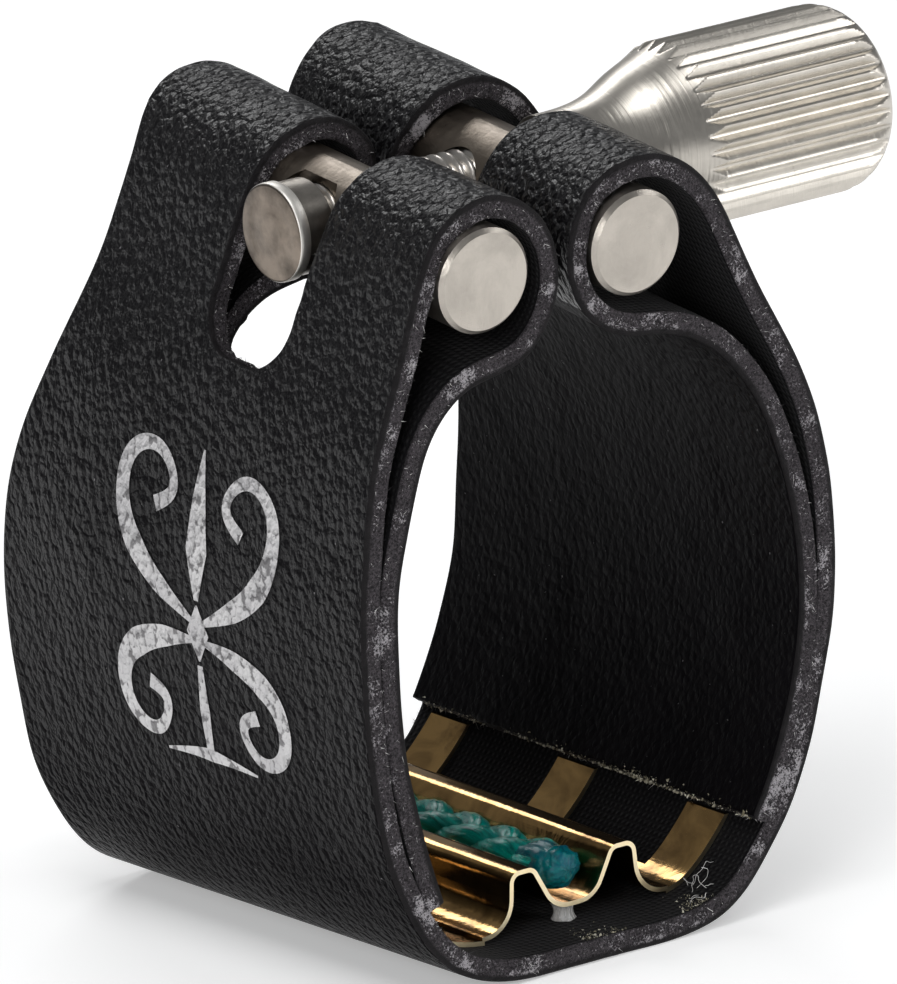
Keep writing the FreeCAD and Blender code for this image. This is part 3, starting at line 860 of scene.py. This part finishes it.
def build_threads():
    """Loose curly threads of the backing, by the plate's right foot."""
    rng = np.random.default_rng(77)
    around = np.linspace(0, 2 * math.pi, 6, endpoint=False)
    points, faces = [], []
    for _ in range(9):
        x = rng.uniform(4.7, 6.2)
        root = np.array([x, rng.uniform(-12.0, -10.4), -15.0 + (x - 4.7) * 0.3])
        heading = rng.normal(0, 0.5, 3) + np.array([0.3, -0.1, 0.35])
        bends = [root]
        for _ in range(8):
            heading = 0.8 * heading + rng.normal(0, 0.75, 3)
            bends.append(bends[-1] + heading * 0.11 + np.array([0.02, 0, 0.03]))
        line = spline(bends, 0.06)
        tube = tube_points(line, around, (0.31, 0.23, 0.92), rng.uniform(0.010, 0.015))
        faces += [tuple(len(points) + v for v in face) for face in tube_faces(len(line), len(around))]
        points += list(tube)
    piece = mesh_object("loose_threads", points, faces, [FIBRE])
    set_value(piece, "pale", np.ones(len(points)))
    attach(piece, "base")


def hinge_blend(piece):
    """Bakes the piece's placement into its mesh; nothing here bends the band between the bottom, which holds
    the plate, and the wall.
    """
    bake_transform(piece)


def build_band():
    halves = [
        ("left", -1, 11, ["left_wall_leather", "left_wall_backing", "bottom_leather"]),
        ("right", 1, 47, ["right_wall_leather", "right_wall_backing", "bottom_backing"]),
    ]
    for word, side, seed, nodes in halves:
        piece, *rim = band_half(word + "_half_of_band", side, seed)
        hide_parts(*nodes)
        hinge_blend(piece)
        fuzz = fibres(word + "_edge_fibres", rim, seed + 9, 9000)
        hinge_blend(fuzz)
        glue = crumbs(word + "_flap_glue_crumbs", side, seed + 20, 1500)
        hinge_blend(glue)
    front_glue_crumbs()
    build_threads()


# ---- printed ornament


def stroke(points, widths):
    """A brush stroke on the wall, as (right, up) offsets from the ornament's middle, with its faces."""
    line = spline(points, 0.12)
    side = quarter_turn(headings(line))
    at = np.linspace(0, 1, len(line))
    width = np.interp(at, np.linspace(0, 1, len(widths)), widths)
    lanes = np.linspace(-0.5, 0.5, 5)
    grid = line[:, None, :] + side[:, None, :] * (width[:, None] * lanes[None, :])[..., None]
    faces = []
    for i in range(len(line) - 1):
        for j in range(len(lanes) - 1):
            v = i * len(lanes) + j
            faces.append((v, v + 1, v + 1 + len(lanes), v + len(lanes)))
    return grid.reshape(-1, 2), faces


def mirrored(points):
    return [(-a, b) for a, b in points]


def build_ornament():
    """A generic printed scroll: two pairs of mirrored curls round a diamond, with a bar at its foot."""
    upper = [(0.3, -0.6), (2.9, 0.7), (5.2, 3.2), (5.0, 5.7), (3.0, 6.3), (1.9, 4.9), (3.1, 3.9)]
    lower = [(0.3, -1.4), (3.2, -1.9), (5.6, -3.6), (5.3, -5.6), (3.5, -6.0), (2.8, -4.6), (3.9, -4.0)]
    stem = [(0, -6.6), (0, -2.5)]
    spear = [(0, 0.4), (0, 3.2), (0, 7.0)]
    foot = [(-3.2, -6.9), (0, -6.6), (3.2, -6.9)]
    diamond = [(0, -2.3), (0, 0.2)]
    curl = [0.25, 0.95, 1.25, 0.9, 0.7, 0.55, 0.7]
    strokes = [
        (upper, curl), (mirrored(upper), curl), (lower, curl), (mirrored(lower), curl),
        (stem, [0.5, 0.7, 0.35]), (spear, [0.3, 1.5, 0.9, 0.12]), (foot, [0.12, 0.62, 0.12]),
        (diamond, [0.1, 1.5, 0.1]),
    ]
    z, run = STRIP.line[:, 1], STRIP.run
    wall = (STRIP.line[:, 0] < -11.0) & (run > STRIP.centre / 2)
    middle = run[wall][np.abs(z[wall] - 0.2).argmin()]
    points, faces, flat = [], [], []
    for line, widths in strokes:
        grid, quads = stroke(line, widths)
        along = middle - grid[:, 1]
        y = -0.8 - grid[:, 0]
        start = len(points)
        points += list(STRIP.at(along, y, swell(along, y) - 0.03))
        flat += list(np.stack([along, y], axis=1))
        faces += [tuple(start + v for v in quad) for quad in quads]
    piece = mesh_object("silver_ornament", points, faces, [PRINT])
    set_uv(piece, np.array(flat))
    hinge_blend(piece)
    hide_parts("printed_ornament")


# ---- screw and knob


def turned(name, x, radius, material):
    """A solid of revolution on the screw's axis: radius is rows of x by columns of angle, in mm."""
    rows, columns = radius.shape
    angle = np.linspace(0, 2 * math.pi, columns, endpoint=False)
    y0, z0 = screw_axis()
    points = np.stack([
        np.broadcast_to(x[:, None], radius.shape),
        y0 + radius * np.sin(angle),
        z0 + radius * np.cos(angle),
    ], axis=-1).reshape(-1, 3)
    # The rings go round the other way than a tube's, so its faces are turned over.
    faces = [(face[0], *face[:0:-1]) for face in tube_faces(rows, columns)]
    piece = mesh_object(name, points, faces, [material])
    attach(piece, "thumbscrew")
    return piece


def build_shaft():
    """The thread, from the end disc's collar to the knob."""
    x = np.arange(COLLAR_END_X - 0.02, KNOB_START_X + 0.5, PITCH / 9)
    angle = np.linspace(0, 1, 60, endpoint=False)
    turn = (x[:, None] / PITCH - angle[None, :]) % 1.0
    ridge = 1 - np.abs(2 * turn - 1)
    radius = THREAD_R - THREAD_DEPTH + THREAD_DEPTH * np.minimum(1.0, ridge * 1.35)
    piece = turned("threaded_shaft", x, radius, TURNED)
    sharpen(piece, 35)
    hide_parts("screw_shaft")


def build_disc():
    """The end disc with the rivet's head just proud of it, and the slimmer collar behind."""
    face = DISC_FACE_X
    back = face + DISC_THICK
    profile = [
        (face - 0.05, 0.02), (face - 0.045, 0.5), (face - 0.035, 0.92), (face - 0.005, 1.02),
        (face - 0.01, 1.6), (face, DISC_R - 0.14), (face + 0.03, DISC_R - 0.05),
        (face + 0.09, DISC_R - 0.01), (face + 0.2, DISC_R), (back - 0.05, DISC_R),
        (back, DISC_R - 0.04), (back + 0.03, COLLAR_R), (back + 0.6, COLLAR_R),
        (COLLAR_END_X - 0.1, COLLAR_R), (COLLAR_END_X, COLLAR_R - 0.1), (COLLAR_END_X + 0.001, 1.4),
    ]
    x, plain = np.array(profile).T
    wobble = 1 + 0.006 * value_noise(np.linspace(0, 9, 96), np.zeros(96), 41)
    radius = plain[:, None] * wobble[None, :]
    piece = turned("captive_end_disc", x, radius, WORN)
    for material in (PAINTED_BRIGHT_RIM, COLLAR):
        piece.data.materials.append(material)
    for polygon in piece.data.polygons:
        if abs(polygon.normal.x) < 0.9:
            polygon.material_index = 1 if polygon.center.x < back * MM else 2
    sharpen(piece, 40)
    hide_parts("screw_end_disc")


def build_knob():
    """The knob: slim nose, hollow flare, straight flutes that run out at both ends, rounded end."""
    flare = spline([
        (KNOB_START_X + 0.08, 2.42), (KNOB_START_X + 2.6, 2.58), (KNOB_START_X + 3.9, 2.95),
        (KNOB_START_X + 5.2, 3.55), (FLUTE_START_X - 0.7, 4.12), (FLUTE_START_X, KNOB_R),
    ], 0.09)
    end_round = 1.9
    corner = [
        (KNOB_END_X - end_round + end_round * math.sin(a), KNOB_R - end_round + end_round * math.cos(a))
        for a in np.linspace(0, math.pi / 2 * 0.8, 14)
    ]
    last_x, last_r = corner[-1]
    dome = [(last_x + (KNOB_END_X - last_x) * (1 - (1 - s) ** 2), last_r * (1 - s)) for s in
            np.linspace(0.1, 0.995, 14)]
    straight = [(v, KNOB_R) for v in np.linspace(FLUTE_START_X + 0.05, KNOB_END_X - end_round - 0.02, 40)]
    nose = [(KNOB_START_X, 1.8), (KNOB_START_X, 2.3), (KNOB_START_X + 0.03, 2.38)]
    x, plain = np.array(nose + flare.tolist() + straight + corner + dome).T
    steps = 12
    phase = (np.arange(FLUTES * steps) / steps) % 1.0
    groove = KNOB_R - FLUTE_DEPTH * np.clip((1 - np.abs(2 * phase - 1)) * 1.3 - 0.12, 0, 1)
    radius = np.minimum(plain[:, None], groove[None, :])
    piece = turned("fluted_knob", x, radius, GRIP)
    sharpen(piece, 24)
    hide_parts("thumb_knob")


# ---- cord and glue


def build_cord():
    """Three waxed strands plaited flat in the trough, with melted ends."""
    start = PLATE_FRONT + CORD_SETBACK
    end = start + PLATE_LENGTH - 2 * CORD_SETBACK
    y = np.linspace(start + 0.5, end - 0.5, 330)
    around = np.linspace(0, 2 * math.pi, 44, endpoint=False)
    n = len(around)
    near_end = smoothstep((y - start) / 2.6) * smoothstep((end - y) / 2.6)
    for k in range(3):
        phase = 2 * math.pi * (y / 8.4 + k / 3)
        cx = TROUGH_X + 0.66 * np.sin(phase) * (0.35 + 0.65 * near_end)
        cz = CORD_Z + 0.21 * np.sin(2 * phase) * near_end + 0.03
        thick = 0.66 + 0.035 * value_noise(y * 1.3, y * 0, 70 + k)
        lay = y * 0.55 + 0.3 * value_noise(y * 0.9, y * 0, 75 + k)
        twist = around[None, :] + lay[:, None]
        plies = 0.96 + 0.08 * np.abs(np.cos(4.5 * twist)) * (0.3 + 0.7 * near_end)[:, None]
        radius = (thick[:, None] * plies)[..., None]
        points = tube_points(np.stack([cx, y, cz], axis=1), around, (0, 0, 1.0), radius, 1.02, 0.86)
        piece = mesh_object("cord_strand_%d" % (k + 1), points, tube_faces(len(y), n), [CORD])
        set_uv(piece, np.stack([np.repeat(y, n), twist.ravel() * 0.6], axis=1))
        if k == 0:
            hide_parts("waxed_cord")
        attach(piece, "base")
    melted_end("front_melted_end", start, 1, 81)
    melted_end("rear_melted_end", end, -1, 85)


def ball(rows, columns):
    """A closed unit ball: points, faces, and each point's two angles."""
    a = np.linspace(0.02, math.pi - 0.02, rows)
    b = np.linspace(0, 2 * math.pi, columns, endpoint=False)
    aa, bb = np.meshgrid(a, b, indexing="ij")
    points = np.stack([np.sin(aa) * np.cos(bb), np.cos(aa), np.sin(aa) * np.sin(bb)], axis=-1)
    return points.reshape(-1, 3), tube_faces(rows, columns), aa.ravel(), bb.ravel()


def melted_end(name, y_end, inwards, seed):
    """The smooth lump that the strands melt into: a blunt front that thins out along the cord."""
    points, faces, a, b = ball(40, 48)
    reach = np.where(points[:, 1] * inwards < 0, 0.95, 3.0)
    lumps = 1 + 0.12 * value_noise(a * 2.4, b * 1.6, seed) + 0.09 * value_noise(a * 6, b * 4, seed + 1)
    size = np.stack([1.14 * lumps, reach, 1.02 * lumps], axis=1)
    points = points * size + np.array([TROUGH_X, y_end + inwards * 0.97, CORD_Z - 0.02])
    piece = mesh_object(name, points, faces, [MELTED])
    set_uv(piece, np.stack([a * 2, b * 0.7], axis=1))
    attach(piece, "base")


def build_glue():
    """The clear dabs under the ends of the trough."""
    rows, columns = 14, 30
    overlap = 0.05
    up = np.linspace(0, 1, rows)
    angle = np.linspace(0, 2 * math.pi, columns, endpoint=False)
    waist = 0.46 + 0.22 * (2 * np.abs(up - 0.45)) ** 2
    z = BACKING_Z - overlap + up * (TROUGH_UNDER_Z - BACKING_Z + 2 * overlap)
    for word, y0, seed in (("front", PLATE_FRONT + 0.95, 5), ("rear", PLATE_FRONT + PLATE_LENGTH - 1.2, 9)):
        radius = waist[:, None] * (1 + 0.09 * value_noise(angle * 2.2, angle * 0, seed))[None, :]
        points = np.stack([
            TROUGH_X + radius * np.cos(angle), y0 + radius * np.sin(angle),
            np.broadcast_to(z[:, None], radius.shape)], axis=-1).reshape(-1, 3)
        piece = mesh_object(word + "_clear_dab", points, tube_faces(rows, columns), [GLUE])
        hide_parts(word + "_glue_dab")
        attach(piece, "base")


# ---- CAD parts that show


def dress(node, *materials):
    """Gives a CAD part its materials."""
    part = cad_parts[node]
    part.data.materials.clear()
    for material in materials:
        part.data.materials.append(material)
    return part


def finish_cad_parts():
    """The bars and the plate, whose front and rear edges are bare cut metal, slightly rounded, and coloured
    pale cream, partly bare metal and partly a painted highlight along the edges.
    """
    dress("left_bar", LEFT_NICKEL)
    dress("right_bar", RIGHT_NICKEL)
    plate = dress("resonance_plate", GOLD, GOLD_EDGE_PAINTED_HIGHLIGHT)
    for face in plate.data.polygons:
        face.material_index = 1 if abs(face.normal.y) > 0.95 else 0
    rounding = plate.modifiers.new("edge", "BEVEL")
    rounding.width = 0.03 * MM
    rounding.segments = 2
    rounding.limit_method = "ANGLE"
    rounding.angle_limit = math.radians(50)


# ---- stage, light and camera


def build_stage():
    """A pale paper floor that glows a little, as paper does under wide soft lights."""
    half_size = 900.0
    points = [(x, y, FLOOR_Z) for y in (-half_size, half_size) for x in (-half_size, half_size)]
    g = Graph("pale_paper")
    g.set(
        Base_Color=g.ramp(g.noise(g.place(), 40.0, 3.0), [(0.3, 0.9), (0.7, 0.94)]),
        Roughness=0.8,
        Emission_Color=(1.0, 1.0, 1.0, 1.0),
        Emission_Strength=0.34,
    )
    floor = mesh_object("paper_floor", points, [(0, 1, 3, 2)], [g.material])


def soft_light(name, place, width, height, power):
    """A soft box that faces the object's middle."""
    light = bpy.data.lights.new(name, "AREA")
    light.shape = "RECTANGLE"
    light.size, light.size_y = width * MM, height * MM
    light.energy = power
    lamp = bpy.data.objects.new(name, light)
    bpy.context.scene.collection.objects.link(lamp)
    lamp.location = Vector(place) * MM
    heading = (Vector((0, 0, 3)) - Vector(place)).normalized()
    lamp.rotation_euler = heading.to_track_quat("-Z", "Y").to_euler()


def build_light():
    soft_light("key_softbox", (-160, -60, 520), 300, 300, 1.2)
    soft_light("left_front_softbox", (-430, -330, 210), 200, 240, 0.75)
    soft_light("right_front_softbox", (330, -430, 120), 180, 240, 0.6)
    soft_light("right_strip", (480, -160, 200), 90, 420, 0.5)
    soft_light("back_softbox", (160, 420, 330), 300, 150, 0.7)
    world = bpy.data.worlds.new("studio")
    bpy.context.scene.world = world
    world.use_nodes = True
    sky = world.node_tree.nodes["Background"]
    sky.inputs["Color"].default_value = (0.95, 0.97, 1.0, 1)
    sky.inputs["Strength"].default_value = 0.2
    bpy.context.scene.view_settings.view_transform = "Standard"


def build_camera():
    """A long lens from the front left and a little above, rolled slightly."""
    azimuth, elevation, roll = math.radians(-35.774), math.radians(16.511), math.radians(-3.116)
    distance = 700.0
    focal_in_image_heights = 15.5752
    aim = Vector((-1.6, -3.0, 2.0))
    back = Vector((math.sin(azimuth) * math.cos(elevation), -math.cos(azimuth) * math.cos(elevation),
                   math.sin(elevation)))
    right = Vector((math.cos(azimuth), math.sin(azimuth), 0))
    up = back.cross(right)
    right_rolled = math.cos(roll) * right + math.sin(roll) * up
    up_rolled = -math.sin(roll) * right + math.cos(roll) * up
    place = aim + back * distance
    # The object's middle is a little below and right of the aim point in the view.
    aim = aim + right_rolled * 0.323 + up_rolled * 2.183
    back = (place - aim).normalized()
    right_rolled = up_rolled.cross(back).normalized()
    up_rolled = back.cross(right_rolled)
    camera = bpy.data.objects.new("camera", bpy.data.cameras.new("camera"))
    bpy.context.scene.collection.objects.link(camera)
    turn = Matrix((right_rolled, up_rolled, back)).transposed()
    camera.matrix_world = Matrix.Translation(place * MM) @ turn.to_4x4()
    camera.data.sensor_width = 36.0
    camera.data.lens = focal_in_image_heights * camera.data.sensor_width
    camera.data.clip_start = 0.05
    camera.data.clip_end = 10.0
    bpy.context.scene.camera = camera


build_camera()
build_band()
build_ornament()
build_shaft()
build_disc()
build_knob()
build_cord()
build_glue()
finish_cad_parts()
build_stage()
build_light()
